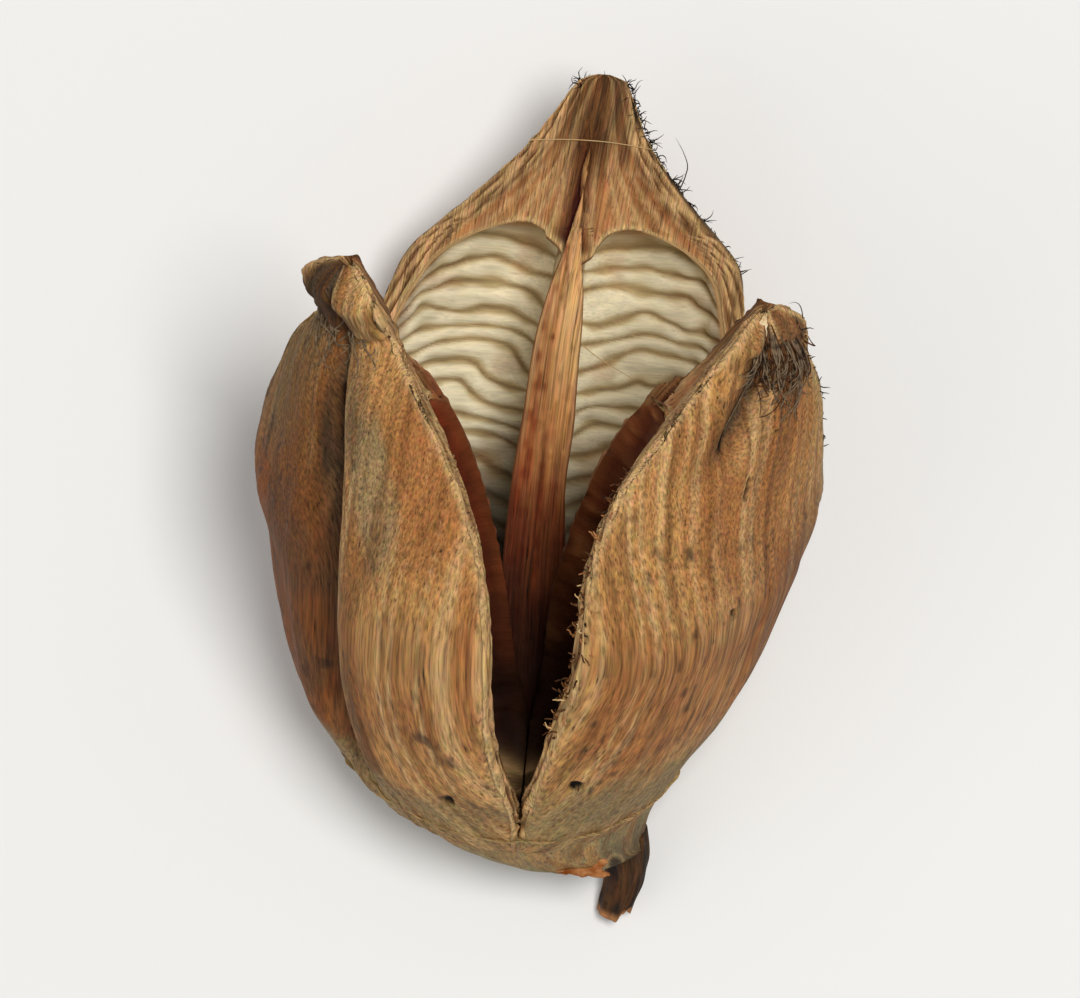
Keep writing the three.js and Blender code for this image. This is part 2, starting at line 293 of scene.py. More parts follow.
def split_face(valve, at, distance):
    """The face along which the valves parted, at a distance out from the pod's axis."""
    t = np.clip((distance - at.band) / (at.rim - at.band), 0, 1)
    top = between(at.share, *FACE_SHARES)
    out = distance - at.rim + 0.35 * grain(at.length / 9, at.side * 7, at.seed + 5)

    # Above the chambers: a slot on each side of the septum's point, pale lips, and veins.
    beside = distance - at.band
    slot_width = 0.55 + 0.25 * at.side
    slot = between(at.share, *POINT_SHARES) * bell(beside, slot_width, slot_width)
    lip = top * bell(beside, 2.2 * slot_width + 0.25, 0.26)
    above = (at.share - CHAMBER_SHARES[2]) / (CHAMBER_SHARES[3] - CHAMBER_SHARES[2])
    arch = np.hypot((distance - at.centre) / (at.rim - at.centre), np.clip(above, 0, None))
    hem = bell((arch - 1) * (at.rim - at.centre), 0.25, 0.22) * smooth(0.3, 0.5, at.share)
    hem = hem * (beside > 0.3)
    veins = sum(bell(t, *vein) for vein in VEINS)
    hollow = 0.08 * np.minimum(at.rim, 12) * np.sin(math.pi * t) ** 0.7
    tissue = uneven(at, distance, 0.9, 4, 6 + at.side)
    speckle = uneven(at, distance, 0.35, 0.8, 7)
    inwards = SLOT_DEPTH * slot - LIP_RISE * lip - HEM_RISE * hem
    inwards = inwards + top * (hollow - VEIN_RISE * veins + 0.12 * tissue + 0.05 * speckle)

    # The rim: three or four fibrous ridges, rounded off at the outer edge.
    from_edge = at.edge - distance
    on_rim = smooth(-0.1, 0.25, distance - at.rim) * smooth(0, 0.1, at.share)
    ridges = np.cos(math.tau * out / RIDGE_PITCH)
    ridges = ridges + 0.6 * np.cos(math.tau * out / FINE_RIDGE_PITCH + 1.3)
    ridges = ridges * (0.6 + 0.4 * uneven(at, out, 0.4, 6, 8))
    frayed = uneven(at, out, 0.3, 1.7, 9)
    round_off = 0.5 * smooth(0.7, 0, from_edge) ** 1.5 * smooth(0.03, 0.1, at.share)
    inwards = inwards + on_rim * (0.13 * frayed - RIDGE_RISE * ridges) + round_off
    place = polar(distance, HALF_SPAN) + inwards[:, None] * polar(1.0, HALF_SPAN - math.pi / 2)

    sooty = smooth(0.86, 0.95, at.share) * smooth(-0.1, 0.7, tissue + 0.4 * speckle)
    haired = (at.side == valve["haired"]) * smooth(0.72, 0.82, at.share)
    return place, layered(
        WOOD["tissue"],
        ("tissue_dark", 0.8 * smooth(-0.2, 0.9, tissue)),
        ("straw", 0.45 * smooth(0.2, 0.9, speckle) * smooth(0.15, 0.5, t)),
        ("rim_light", 0.9 * np.clip(top * veins * 0.75 + lip, 0, 1)),
        ("umber", 0.85 * smooth(0.83, 0.93, at.share + 0.02 * tissue)),
        ("soot", 0.6 * sooty),
        ("blood", np.clip(slot * 1.2, 0, 1)),
        ("rim_dark", on_rim),
        ("rim_light", on_rim * smooth(-0.8, 0.7, ridges + 0.5 * frayed)),
        # Pale straw on the hem round the chamber's top, and a painted highlight on the rim's outer
        # edge.
        ("straw", np.clip(hem * 0.9 + on_rim * bell(from_edge, 0.1, 0.22) * 0.8, 0, 1)),
        # Painted shade: near black low in the pod, from the rim inwards.
        ("pitch", 0.88 * smooth(0.3, 0.16, at.share) * smooth(0.4, -0.6, distance - at.rim)),
        ("soot", 0.85 * haired * smooth(0.9, 0.1, from_edge + 0.4 * tissue)),
    )


def septum_front(valve, at, t):
    """The tan inner edge of the septum, flat but for fine lips along its sides."""
    distance = at.mouth_in * t
    across = distance / np.maximum(at.band, 0.05)
    on_septum = across < 1.3
    recess = abs(valve["recess"])
    place, face_tint = split_face(valve, at, distance)
    lines = grain(across * at.side * 3.5, at.length / 14, at.seed + 15)
    rough = grain(across * at.side * 4, at.length / 0.9, at.seed + 27)
    rough = rough + 0.5 * grain(across * 3, at.length / 3, at.seed + 28)
    raised = 0.42 * at.band * np.clip(1 - across, 0, 1)
    sunk = 0.9 * between(at.share, *SUNK_SHARES) + valve["recess"] * at.bared
    lips = 0.14 * bell(across, 0.8, 0.16) * smooth(0.1, 0.2, at.share)
    place[:, 0] += raised + sunk * on_septum - lips + 0.08 * lines
    place[:, 0] += (0.06 + 0.12 * recess) * rough * on_septum

    bared = np.clip(recess * at.bared, 0, 1)
    worn = 0.6 * smooth(0.1, 0.8, -lines) + 0.45 * smooth(0.1, 0.9, rough)
    flank = smooth(0.3, 0.5, across * at.side + 0.15 * lines) * smooth(0.86, 0.76, at.share)
    tint = layered(
        WOOD["septum"],
        # Painted highlight: a bright pale tan over the upper septum, where the light catches it.
        ("septum_highlight", between(at.share, *HIGHLIGHT_SHARES) * np.clip(0.7 + 0.4 * lines, 0, 1)),
        ("tissue_dark", np.clip(worn, 0, 1)),
        ("mahogany", 0.85 * smooth(0.56, 0.4, at.share + 0.06 * lines + 0.03 * rough)),
        ("mahogany", 0.8 * flank * np.clip(0.8 + 0.4 * rough, 0, 1)),
        ("rim_light", 0.5 * bell(across, 0.9, 0.1) * smooth(0.4, 0.6, at.share)),
        ("umber", bared * np.clip(0.6 + 0.5 * rough, 0, 1)),
        ("mahogany", bared * valve["red_wall"]),
        ("blood", bared * np.clip(0.35 + 0.5 * lines - 0.3 * rough, 0, 0.8)),
        ("pitch", deep_shade(at)),
    )
    into_face = np.maximum(smooth(0.95, 1.15, across), smooth(0.86, 0.91, at.share))
    tint = mix(tint, face_tint, into_face[:, None])
    pale_lip = smooth(0.9, 1, t) * smooth(1.3, 1.8, across) * at.depth
    return place, layered(tint, ("rim_light", pale_lip))


def deep_shade(at):
    """How much painted shade darkens the inside of the pod, low down between its valves."""
    return 0.85 * smooth(0.46, 0.2, at.share + 0.03 * grain(at.length / 3, at.side, at.seed))


def septum_side(valve, at, t):
    """A side of the septum: red brown at the front, then papery down to the chamber's floor."""
    red = valve["red_wall"]
    start = split_face(valve, at, at.mouth_in)[0]
    flare = (start[:, 1] - at.half_septum) * (1 - np.clip(t * 4, 0, 1)) ** 2
    floor_radius = back_radius(valve, at.share, CORNER_ANGLE * at.side) - CHAMBER_WALL
    corner = polar(floor_radius, CORNER_ANGLE)
    x = mix(start[:, 0], corner[:, 0], t)
    fold, tint = seed_prints(at, 1 - t)
    papery = smooth(mix(0.04, 0.22, red), 0.5, t) * smooth(1, 0.9, t)
    woody = 1 - papery
    ragged = uneven(at, x, 1.1, 1.7, 4) + 0.6 * uneven(at, x, 0.5, 0.7, 6)
    fibrous = uneven(at, x, 0.35, 5, 30) + 0.6 * uneven(at, x, 1.3, 2, 31)
    crinkle = (0.07 + 0.2 * abs(valve["recess"])) * ragged * smooth(0, 0.1, t)
    y = mix(at.half_septum, corner[:, 1], smooth(0.8, 1, t))
    y = y + flare + crinkle + 0.4 * papery * (fold - 0.6)
    tint = layered(
        tint,
        ("umber", woody),
        ("mahogany", woody * mix(0.25, 1, red**0.5)),
        ("septum", woody * 0.4 * (1 - red) * smooth(0.1, 0.9, ragged)),
        ("pitch", woody * 0.6 * smooth(0.1, 0.9, -ragged)),
        ("blood", woody * np.clip(0.5 + 0.5 * fibrous, 0, 1) * (valve["recess"] != 0)),
        ("tissue_dark", 0.4 * smooth(0.12, 0, t)),
        ("pitch", deep_shade(at)),
    )
    face, face_tint = split_face(valve, at, mix(at.mouth_in, at.mouth_out, t * 0.25))
    x += valve["recess"] * at.bared * (1 - t)
    return chamber_or_face(at, np.stack([x, y], -1), tint, face, face_tint)


def seed_prints(at, t):
    """Soft folds across a papery wall, between the creases that the stacked seeds left, with
    painted light: a cream highlight on each crest, painted shade in each crease and low down.
    """
    bend = 1.0 + 0.4 * grain(at.length / 7, at.side * 2, at.seed + 11)
    wander = 0.58 * grain(t * 3.4 + 0.4 * at.side, at.length / 3.4, at.seed + 12)
    wander = wander + 0.13 * grain(t * 8, at.length / 1.8, at.seed + 17)
    wave = np.sin(math.pi * (at.length / SEED_PITCH + bend * (2 * t - 0.9) ** 2 + wander))
    fold = (wave**2 + 0.01) ** 0.3
    puckers = grain(t * 9, at.length / 1.3, at.seed + 13)
    faint = 0.65 + 0.35 * grain(t * 3.3, at.length / SEED_PITCH, at.seed + 18)
    # Painted shade: darker lower down in the pod, and a little darker on one side.
    shaded_low = at.share + 0.06 * grain(t * 3, at.length / 4, at.seed + 14) + 0.05 * (at.side < 0)
    tint = layered(
        WOOD["shadow"],
        ("cream", smooth(0.45, 0.9, fold + 0.2 * puckers)),
        ("crease", faint * smooth(0.56, 0.3, fold)),
        ("tissue", 0.3 * smooth(0.2, 0.8, grain(t * 5, at.length / 2.6, at.seed + 19))),
        ("smoke", 0.9 * smooth(0.54, 0.34, shaded_low)),
    )
    return fold + 0.24 * puckers, tint


def chamber_or_face(at, wall, tint, face, face_tint):
    """A chamber's wall where it is open, and the split face beyond its ends, with a pale lip."""
    depth = at.depth[:, None]
    tint = mix(face_tint, tint, smooth(0.35, 0.9, depth))
    return mix(face, wall, depth), layered(tint, ("rim_light", 0.8 * bell(at.depth, 0.3, 0.3)))


def lining(valve, at, t):
    """The papery floor of the chamber, from the foot of the septum out to the rim."""
    angle = mix(CORNER_ANGLE, HALF_SPAN, t)
    thick = mix(CHAMBER_WALL, at.edge - at.mouth_out, smooth(0.6, 1, t) ** 2)
    fold, tint = seed_prints(at, t)
    papery = smooth(0, 0.1, t) * smooth(1, 0.88, t)
    rise = 0.85 * (fold - 0.6) * at.depth * papery
    wall = polar(back_radius(valve, at.share, angle * at.side) - thick - rise, angle)
    # The steep outer wall of the chamber: dark red-brown, partly the wall's own colour and partly
    # painted shade.
    shaded_red_wall = smooth(0.82, 0.93, t) * valve["red_wall"]
    shaded_red_wall = shaded_red_wall * mix(1, 0.35, smooth(0.6, 0.75, at.share))
    tint = layered(
        tint,
        ("mahogany", np.clip(shaded_red_wall, 0, 1)),
        ("rim_light", smooth(0.965, 0.995, t)),
        ("pitch", deep_shade(at)),
    )
    face, face_tint = split_face(valve, at, mix(at.mouth_in, at.mouth_out, mix(0.25, 1, t)))
    return chamber_or_face(at, wall, tint, face, face_tint)


def split_rim(valve, at, t):
    place, tint = split_face(valve, at, mix(at.mouth_out, at.edge, t))
    return place, layered(tint, ("rim_light", 0.8 * smooth(0.12, 0, t)))


def slit_depth(valve, at, angle):
    """How deep the short dark slits and scars in a valve's skin are, from 0 to 1."""
    depth = np.zeros(len(at.share))
    for share, degrees, reach, width in valve["slits"]:
        away = np.hypot((at.share - share) / reach, (np.degrees(angle) - degrees) / width)
        depth = np.maximum(depth, smooth(1, 0.5, away))
    return depth


def outer_skin(valve, at, t):
    """The fibrous skin: golden streaks, darker flecks, and the stains of weather."""
    angle = HALF_SPAN * (1 - t) * at.side
    degrees = np.degrees(angle)
    radius = back_radius(valve, at.share, angle)
    arc = radius * angle
    inside = smooth(0, 0.08, HALF_SPAN * t)
    swell = 0.22 * uneven(at, arc, 6, 11, 22) + 0.1 * uneven(at, arc, 2.2, 6, 23)
    fibres = 0.08 * uneven(at, arc, 0.8, 34, 20) + 0.06 * uneven(at, arc, 0.42, 14, 21)
    turned = SKIN_TURN_IN * bell(t * HALF_SPAN, 0, 0.035) * smooth(0.03, 0.1, at.share)
    wrinkled = 1 + 1.8 * smooth(0.74, 0.9, at.share)
    broken = smooth(0.915, 0.95, at.share) * (valve["blunt"] > 0)
    crease = bell(at.length + 0.5 * grain(angle * 3, 0.5, at.seed), 0.935 * POD_LENGTH, 0.4)
    lumps = 0.75 * grain(angle * 1.7, at.length / 1.9, at.seed + 24)
    lumps = lumps + 0.4 * grain(angle * 4, at.length / 0.9, at.seed + 25)
    slit = slit_depth(valve, at, angle)
    relief = swell + fibres * wrinkled + broken * (lumps - 0.6 * crease) - SLIT_DEPTH * slit
    place = polar(radius + relief * inside - turned, np.abs(angle))

    streak = uneven(at, arc, 0.6, 34, 41)
    fine = uneven(at, arc, 0.42, 12, 42)
    fleck = smooth(0.55, 0.85, uneven(at, arc, 0.7, 2.6, 43))
    groove_place, groove_width, groove_depth = groove_at(valve, at.share)
    # On one side of the groove the lobe is painted darker: partly the wood's own rust, partly
    # painted shade where it turns from the light.
    lobe = smooth(1, -2, degrees - groove_place + 3 * fine) * smooth(0.12, 0.35, at.share)
    patchy = 0.7 + 0.45 * uneven(at, arc, 2.2, 7, 47)
    tint = layered(
        WOOD["gold"],
        ("ochre", smooth(-0.5, 0.6, uneven(at, arc, 5, 13, 40))),
        ("straw", 0.55 * smooth(0.1, 0.8, streak)),
        ("umber", 0.55 * smooth(0.1, 0.85, -streak)),
        ("umber", np.clip(valve["lobe_shade_and_stain"] * lobe * patchy, 0, 1)),
    )
    for colour, share, middle, reach, spread, strength in valve["stains"]:
        ragged = 0.25 * uneven(at, arc, 3, 6, 50 + share) + 0.15 * uneven(at, arc, 0.8, 3, 0)
        turn = degrees + twisted(valve, at.share) - middle
        away = np.hypot((at.share - share) / reach, turn / spread) + ragged
        tint = layered(tint, (colour, strength * smooth(1, 0.35, away)))
    # Painted shade down the groove, and a painted highlight on the ridge beside it.
    fold = bell(degrees, groove_place - 0.15 * groove_width, groove_width * 0.55)
    ridge_highlight = bell(degrees, groove_place + 1.3 * groove_width, groove_width * 0.5)
    return place, layered(
        tint,
        ("smoke", np.clip(fold * groove_depth * 5, 0, 0.85)),
        ("straw", np.clip(ridge_highlight * groove_depth * 2, 0, 0.5)),
        ("umber", 0.55 * smooth(0.05, 0.7, fine)),
        ("pitch", np.clip(slit * 1.6, 0, 1)),
        ("soot", 0.65 * fleck * smooth(-0.2, 0.5, uneven(at, arc, 4, 8, 44))),
        # Painted highlight: a pale line along the skin's split edge.
        ("straw", 0.75 * bell(t * radius, 0.35, 0.4) * smooth(0.1, 0.2, at.share)),
    )


SURFACES = [(septum_front, 14), (septum_side, 16), (lining, 54), (split_rim, 14), (outer_skin, 46)]


def valve_loop():
    """The steps round a valve: which surface each is on, how far across it, and on which side."""
    half = []
    for surface, steps in SURFACES:
        first = 0 if surface in (septum_front, septum_side, lining) else 1
        last = steps if surface in (septum_front, septum_side) else steps + 1
        half += [(surface, i / steps) for i in range(first, last)]
    return [(*step, -1) for step in half] + [(*step, 1) for step in half[-2:0:-1]]


def opening(valve, share):
    hinge = valve["hinge"] * smooth(JOINT_SHARE, HINGE_END, share)
    return np.radians(hinge + valve["curl"] * smooth(*CURL_SHARES, share))


def spread_foot(place, share):
    side = np.where(place[:, 0] < 0, FOOT_SPREAD["left"], FOOT_SPREAD["right"])
    place[:, 0] *= 1 + side * (1 - smooth(*FOOT_SHARES, share))
    return place


def bent(valve, flat, share):
    """Carries flat cross-sections out along the valve's bent axis, and round to its heading."""
    fine = np.linspace(-0.1, 1.05, 1151)
    turn = opening(valve, fine)
    turn = (turn[1:] + turn[:-1]) / 2
    step = POD_LENGTH * (fine[1] - fine[0])
    out = np.concatenate([[0], np.cumsum(np.sin(turn))]) * step
    up = np.concatenate([[0], np.cumsum(np.cos(turn))]) * step - 0.1 * POD_LENGTH
    angle, twist = opening(valve, share), np.radians(twisted(valve, share))
    free = np.clip((share - JOINT_SHARE) / (1 - JOINT_SHARE), 0, 1)
    across = valve["lean"] * free**1.5 + valve["bow"] * np.sin(math.pi * free)
    outward = flat[:, 0] * np.cos(twist) - flat[:, 1] * np.sin(twist)
    x = np.interp(share, fine, out) + outward * np.cos(angle)
    z = np.interp(share, fine, up) - outward * np.sin(angle)
    y = flat[:, 0] * np.sin(twist) + flat[:, 1] * np.cos(twist) + across
    c, s = math.cos(math.radians(valve["heading"])), math.sin(math.radians(valve["heading"]))
    return spread_foot(np.stack([c * x - s * y, s * x + c * y, z], -1), share)


def laid_down(place):
    """From the upright pod, in millimetres, to how it lies, in metres."""
    return (place @ np.array(POD_TURN.to_matrix()).T + np.array(POD_FOOT)) * MM


def as_mesh(form, name):
    mesh = bpy.data.meshes.new(name)
    form.to_mesh(mesh)
    form.free()
    return mesh


def vertex_places(mesh):
    co = np.empty(len(mesh.vertices) * 3)
    mesh.vertices.foreach_get("co", co)
    return co.reshape(-1, 3)


def put_in_scene(name, data):
    thing = bpy.data.objects.new(name, data)
    bpy.context.collection.objects.link(thing)
    return thing


def tube(name, sides, rings):
    """A closed upright tube: its mesh, each vertex's share of the height, and its place in its
    ring, which is -1 at the middle of an end."""
    form = bmesh.new()
    bmesh.ops.create_cone(
        form, cap_ends=True, cap_tris=True, segments=sides, radius1=1, radius2=1, depth=1
    )
    upright = [e for e in form.edges if abs(e.verts[0].co.z - e.verts[1].co.z) > 0.5]
    bmesh.ops.subdivide_edges(form, edges=upright, cuts=rings - 1, use_grid_fill=True)
    mesh = as_mesh(form, name)
    x, y, z = vertex_places(mesh).T
    step = np.round(np.arctan2(y, x) / math.tau * sides).astype(int) % sides
    return mesh, z + 0.5, np.where(np.hypot(x, y) < 0.5, -1, step)


def add_piece(mesh, place, material, slot, *nodes):
    """Moves a mesh's vertices to their places, and puts it on the pod in its material."""
    mesh.vertices.foreach_set("co", np.ascontiguousarray(place, float).ravel())
    mesh.polygons.foreach_set("use_smooth", [True] * len(mesh.polygons))
    mesh.materials.append(material)
    mesh.update()
    piece = put_in_scene(mesh.name, mesh)
    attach(piece, "root")
    if nodes:
        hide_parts(*nodes)


def paint(mesh, tint, strand, coarse):
    """Keeps on each vertex a tint, its place across and along the fibres in millimetres, and how
    coarse the fibres are there."""
    tint = np.column_stack([np.clip(tint, 0, 1), np.ones(len(tint))])
    for name, kind, field, values in (
        ("coarse", "FLOAT", "value", coarse),
        ("tint", "FLOAT_COLOR", "color", tint),
        ("strand", "FLOAT_VECTOR", "vector", strand),
    ):
        data = mesh.attributes.new(name, kind, "POINT").data
        data.foreach_set(field, np.ascontiguousarray(values, float).ravel())


def feed(tree, socket, value):
    """Gives a socket its value, or links it to the output of another node."""
    if isinstance(value, bpy.types.NodeSocket):
        tree.links.new(value, socket)
    elif value is not None:
        socket.default_value = value


def wire(tree, node, **inputs):
    for name, value in inputs.items():
        feed(tree, node.inputs[name.replace("_", " ")], value)
    return node


def add_node(tree, kind, **inputs):
    return wire(tree, tree.nodes.new("ShaderNode" + kind), **inputs)


def worked_out(tree, kind, operation, *values):
    """The result of a math node on numbers, vectors and the outputs of other nodes."""
    node = tree.nodes.new("ShaderNode" + kind)
    node.operation = operation
    for socket, value in zip(node.inputs, values):
        feed(tree, socket, value)
    return node.outputs[0]


def painted(tree, name, kind):
    """What paint() kept on the mesh under a name."""
    node = tree.nodes.new("ShaderNodeAttribute")
    node.attribute_name = name
    return node.outputs[kind]


def stretched_noise(tree, strands, cells, detail, roughness, kind="Fac"):
    """Noise that runs along the fibres, in cells of the given sizes in millimetres."""
    place = worked_out(tree, "VectorMath", "MULTIPLY", strands, [1 / size for size in cells])
    noise = add_node(
        tree, "TexNoise", Vector=place, Scale=1.0, Detail=detail, Roughness=roughness
    )
    return noise.outputs[kind]


def ranged(tree, value, low, high, to_low, to_high):
    return add_node(
        tree, "MapRange", Value=value, From_Min=low, From_Max=high, To_Min=to_low, To_Max=to_high
    ).outputs["Result"]


def new_material(name, **inputs):
    material = bpy.data.materials.new(name)
    material.use_nodes = True
    tree = material.node_tree
    return material, tree, wire(tree, tree.nodes["Principled BSDF"], **inputs)


# How far red, green and blue wander from spot to spot, and the size of a spot in millimetres.
MOTTLE = (0.5, 0.52, 0.62)
SPOT_CELLS = (0.4, 3.2, 0.4)
ROUGHNESS = (0.55, 0.85)


def fibrous_wood(name, width, length, contrast, relief):
    """Dry plant wood: the painted tint, under fine fibres of a width and a length in millimetres,
    which catch the light."""
    material, tree, shader = new_material(name, Specular_IOR_Level=0.15)
    strands = painted(tree, "strand", "Vector")
    coarse = painted(tree, "coarse", "Fac")
    fibres = stretched_noise(tree, strands, (width, length, width), 2.5, 0.5)
    broad = stretched_noise(tree, strands, (width * 5, length, width * 5), 5.0, 0.65)
    cracks = stretched_noise(tree, strands, (width * 0.8, length * 0.45, width), 2.0, 0.5)
    spots = stretched_noise(tree, strands, SPOT_CELLS, 2.0, 0.6, "Color")

    streaks = ranged(tree, fibres, 0.3, 0.7, -contrast, contrast * 0.7)
    gaps = ranged(tree, cracks, 0.3, 0.4, -0.45, 0.0)
    patches = ranged(tree, broad, 0.3, 0.7, 0.88, 1.14)
    shade = worked_out(tree, "Math", "ADD", streaks, gaps)
    shade = worked_out(tree, "Math", "MULTIPLY_ADD", shade, coarse, patches)
    strength = worked_out(tree, "VectorMath", "SCALE", MOTTLE, None, None, coarse)
    mottled = worked_out(tree, "VectorMath", "SUBTRACT", spots, (0.5, 0.5, 0.5))
    mottled = worked_out(tree, "VectorMath", "MULTIPLY_ADD", mottled, strength, (1, 1, 1))
    colour = painted(tree, "tint", "Color")
    colour = worked_out(tree, "VectorMath", "MULTIPLY", colour, mottled)
    colour = worked_out(tree, "VectorMath", "SCALE", colour, None, None, shade)
    bump = add_node(tree, "Bump", Distance=relief * MM, Strength=coarse, Height=fibres)
    gloss = ranged(tree, broad, 0.3, 0.7, *ROUGHNESS)
    wire(tree, shader, Base_Color=colour, Roughness=gloss, Normal=bump.outputs["Normal"])
    return material


valve_wood = fibrous_wood("valve_wood", 0.22, 14.0, 0.48, 0.2)


def grow_valve(name, valve):
    loop = valve_loop()
    mesh, ring, step = tube(name + "_wood", len(loop), RINGS)
    share = mix(VALVE_START, 1.0, ring)
    tip_pit = (step < 0) & (ring > 0.5) & (valve["blunt"] > 0)
    flat, tint = np.zeros((len(share), 2)), np.zeros((len(share), 3))
    for surface, _ in SURFACES:
        here = np.isin(step, [i for i, (kind, _, _) in enumerate(loop) if kind is surface])
        across = np.array([t for _, t, _ in loop])[step[here]]
        side = np.array([s for _, _, s in loop], float)[step[here]]
        flat[here], tint[here] = surface(valve, lay_out(valve, share[here], side), across)
        flat[here, 1] *= side
    flat, tint = close_ends(flat, tint, share, step)
    angle = np.arctan2(flat[:, 1], flat[:, 0])
    radius = np.hypot(flat[:, 0], flat[:, 1])
    strand = np.stack([angle * radius, share * POD_LENGTH, radius], -1)
    share = np.where(tip_pit, TIP_PIT, share)
    walls = [i for i, (kind, _, _) in enumerate(loop) if kind in (lining, septum_side)]
    papery = np.isin(step, walls) & (share > CHAMBER_SHARES[0]) & (share < CHAMBER_SHARES[3])
    strand[papery] = strand[papery][:, [1, 0, 2]]
    paint(mesh, tint, strand, np.where(papery, PAPER_COARSENESS, 1.0))
    knob = np.clip((share - KNOB_SHARES[0]) / (1 - KNOB_SHARES[0]), 0, 1)
    share = share + valve["knob_rise"] / POD_LENGTH * knob
    add_piece(mesh, laid_down(bent(valve, flat, share)), valve_wood, "pod_wood", name)


def close_ends(flat, tint, share, step):
    """Draws the last rings in to a blunt tip, and puts the middle of each end in its place."""
    end_ring = (step >= 0) & (share > share.max() - 1e-6)
    middle = flat[end_ring].mean(0)
    shut = np.sqrt(1 - 0.8 * np.clip((share - 0.99) / 0.01, 0, 1) ** 2)
    flat = mix(middle, flat, np.where(step < 0, 1, shut)[:, None])
    for end in (share < 0.5, share > 0.5):
        centre = end & (step < 0)
        round_it = (step >= 0) & (np.abs(share - share[centre][0]) < 1e-6)
        flat[centre] = flat[round_it].mean(0)
        tint[centre] = WOOD["soot"]
    return flat, tint


for name, valve in VALVES.items():
    grow_valve(name, valve)

# ---------------------------------------------------------------------------------------------
# The base. It is the undivided foot of the pod, of the same wood under a greenish grey skin, and
# is drawn in to one side, where the stalk leaves it. The valves grow out of its top.
# ---------------------------------------------------------------------------------------------
BASE_SIDES = 240
BASE_RINGS = 110
NECK_RADIUS = 2.2
NECK_OFFSET = (9.1, 0.2)
NECK_HEIGHT = -4.6
NECK_TAPER = 2.6
BASE_SEAM = (0.97, 0.05)
DARK_SPOT_PLACE = (6.8, -33.0)
DARK_SPOT_SIZE = (0.55, 0.7)
DARK_SPOT_LOWEST = 5
BASE_GRAIN_REACH = (14, 11)
base_wood = fibrous_wood("base_wood", 0.32, 4.0, 0.38, 0.2)


def pod_radius(share, heading):
    """The radius of the closed pod at a heading, on whichever valve lies that way."""
    nearest = np.full(len(heading), np.inf)
    radius = np.zeros(len(heading))
    for valve in VALVES.values():
        turn = heading - math.radians(valve["heading"])
        away = np.arctan2(np.sin(turn), np.cos(turn))
        nearer = np.abs(away) < nearest
        signed = np.clip(away, -HALF_SPAN, HALF_SPAN)
        radius = np.where(nearer, back_radius(valve, share, signed), radius)
        nearest = np.where(nearer, np.abs(away), nearest)
    return radius


def drawn_aside(ring):
    """How far the base leans over towards its neck."""
    return ((1 - ring) ** NECK_TAPER)[:, None] * np.array(NECK_OFFSET)


def shape_base(ring, heading):
    share = JOINT_SHARE * ring
    height = mix(NECK_HEIGHT, JOINT_SHARE * POD_LENGTH, np.sin(ring * math.pi / 2) ** 2.2)
    fullness = np.sin(ring * math.pi / 2) ** mix(0.5, 0.75, (1 + np.cos(heading)) / 2)
    arc = heading * 12
    ribs = 0.16 * grain(arc / 1.5, ring * 3, 60) + 0.1 * grain(arc / 0.6, ring * 5, 61)
    radius = pod_radius(share, heading) + ribs * smooth(0, 0.3, ring) + 0.3 * bell(ring, 0.97, 0.04)
    full = spread_foot(polar(radius, heading), share)
    flat = mix(polar(NECK_RADIUS, heading), full, fullness[:, None])
    return np.column_stack([flat + drawn_aside(ring), height])


def once_round(heading, reach_x, reach_y):
    """A coordinate for the grain round a piece, which meets itself without a seam."""
    return np.cos(heading) * reach_x + np.sin(heading) * reach_y


base_mesh, base_ring, base_step = tube("pod_base_wood", BASE_SIDES, BASE_RINGS)
base_heading = math.tau * np.maximum(base_step, 0) / BASE_SIDES
base_place = shape_base(base_ring, base_heading)
base_middle = base_step < 0
base_place[base_middle, :2] = drawn_aside(base_ring[base_middle])
base_arc = once_round(base_heading, *BASE_GRAIN_REACH)
base_along = np.linalg.norm(base_place - np.array((*NECK_OFFSET, NECK_HEIGHT)), axis=1)
base_laid = laid_down(base_place)
dark_spot_away = np.hypot(*((base_laid[:, :2] / MM - DARK_SPOT_PLACE) / DARK_SPOT_SIZE).T)
dark_spot_away += (base_laid[:, 2] < DARK_SPOT_LOWEST * MM) * 9
base_tint = layered(
    WOOD["olive"],
    ("gold", 0.6 * smooth(-0.5, 0.6, grain(base_arc / 3, base_along / 5, 64))),
    ("umber", 0.6 * smooth(-0.1, 0.8, grain(base_arc / 0.9, base_along / 3, 62))),
    ("sage", 0.5 * smooth(0.0, 0.8, grain(base_arc / 0.6, base_along / 2, 63))),
    ("smoke", 0.6 * smooth(9, 3, base_along + 1.5 * grain(base_arc / 2, base_along / 2, 65))),
    ("straw", 0.5 * bell(base_ring, *BASE_SEAM)),
    # A dark round spot with a pale ring, on the neck near the stalk.
    ("straw", 0.4 * bell(dark_spot_away, 1.4, 0.25)),
    ("soot", 0.7 * smooth(1.15, 0.6, dark_spot_away)),
)
# Painted shade: the middle of the base's top, down between the valves, is near black.
base_tint[base_middle & (base_ring > 0.5)] = WOOD["pitch"]
base_strand = np.column_stack([base_arc, base_along, base_along * 0.5])
paint(base_mesh, base_tint, base_strand, np.ones(len(base_arc)))
add_piece(base_mesh, base_laid, base_wood, "pod_wood", "pod_base")

# ---------------------------------------------------------------------------------------------
# The stub of the stalk that the pod hung on. It is dark solid wood, a little bent, and ends where
# it was torn off, pale inside.
# ---------------------------------------------------------------------------------------------
STALK_SIDES = 96
STALK_RINGS = 90
STALK_RADII = (1.5, 2.25)
STALK_END = (9.1, -0.7, -11.7)
STALK_TOP = (*NECK_OFFSET, NECK_HEIGHT + 1.2)
STALK_BEND = 0.7
TORN_DEPTH = 0.9
STALK_GRAIN_REACH = (2, 2)
stalk_wood = fibrous_wood("stalk_wood", 0.3, 3.0, 0.5, 0.25)

